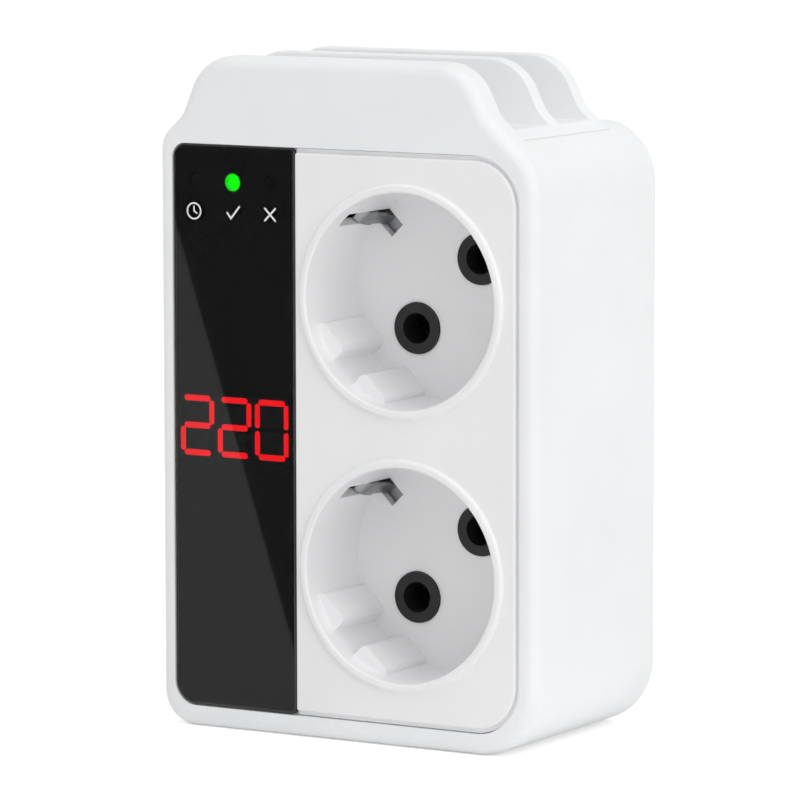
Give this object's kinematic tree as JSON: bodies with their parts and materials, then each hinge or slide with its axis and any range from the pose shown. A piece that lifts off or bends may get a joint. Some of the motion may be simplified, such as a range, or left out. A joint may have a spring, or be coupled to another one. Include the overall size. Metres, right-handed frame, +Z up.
{
  "type": "plug-in voltage protector",
  "caption": "Plug-in voltage protector: a finned housing with recessed earthed sockets, a digital display behind a dark window, and a plug on the back.",
  "frame": {"origin": "middle of the flat bottom of the housing", "axes": "+X to the right as seen from the front, -Y out of the front with the sockets, +Y along the plug's pins, +Z up through the fins"},
  "size_m": [0.08, 0.0828, 0.125],
  "materials": {
    "housing_plastic": "fine satin",
    "plate_plastic": "fine satin",
    "window_acrylic": "polished smoked acrylic",
    "black_film": "printed film",
    "black_plastic": "moulded",
    "contact_brass": "stamped",
    "spring_steel": "nickel plated",
    "nickel_pin": "nickel plated",
    "screw_steel": "zinc plated",
    "lit_red": "lit segments",
    "unlit_red": "unlit segments",
    "lit_green": "lit lamp",
    "unlit_lamp": "clear lamp, unlit",
    "board_laminate": "lacquered laminate",
    "relay_plastic": "moulded",
    "capacitor_plastic": "moulded",
    "fuse_glass": "glass with metal ends"
  },
  "bodies": {
    "root": {"housing_shell": "housing_plastic", "rear_cover": "housing_plastic", "vent_cap": "housing_plastic", "socket_plate": "plate_plastic", "display_window": "window_acrylic", "window_mask": "black_film", "upper_contact_block": "black_plastic", "lower_contact_block": "black_plastic", "live_bar": "contact_brass", "neutral_bar": "contact_brass", "upper_earth_clip": "spring_steel", "lower_earth_clip": "spring_steel", "earth_bar": "spring_steel", "digit_module": "black_plastic", "lit_segments": "lit_red", "unlit_segments": "unlit_red", "delay_led": "unlit_lamp", "normal_led": "lit_green", "fault_led": "unlit_lamp", "display_board": "board_laminate", "microcontroller": "black_plastic", "board_header": "black_plastic", "main_board": "board_laminate", "relay": "relay_plastic", "film_capacitor": "capacitor_plastic", "smoothing_capacitor": "black_plastic", "varistor": "relay_plastic", "rectifier": "black_plastic", "fuse": "fuse_glass", "fuse_clips": "spring_steel", "live_pin": "nickel_pin", "neutral_pin": "nickel_pin", "plug_earth_strip": "spring_steel", "cover_screws": "screw_steel", "board_screws": "screw_steel", "display_screws": "screw_steel"}
  },
  "joints": []
}
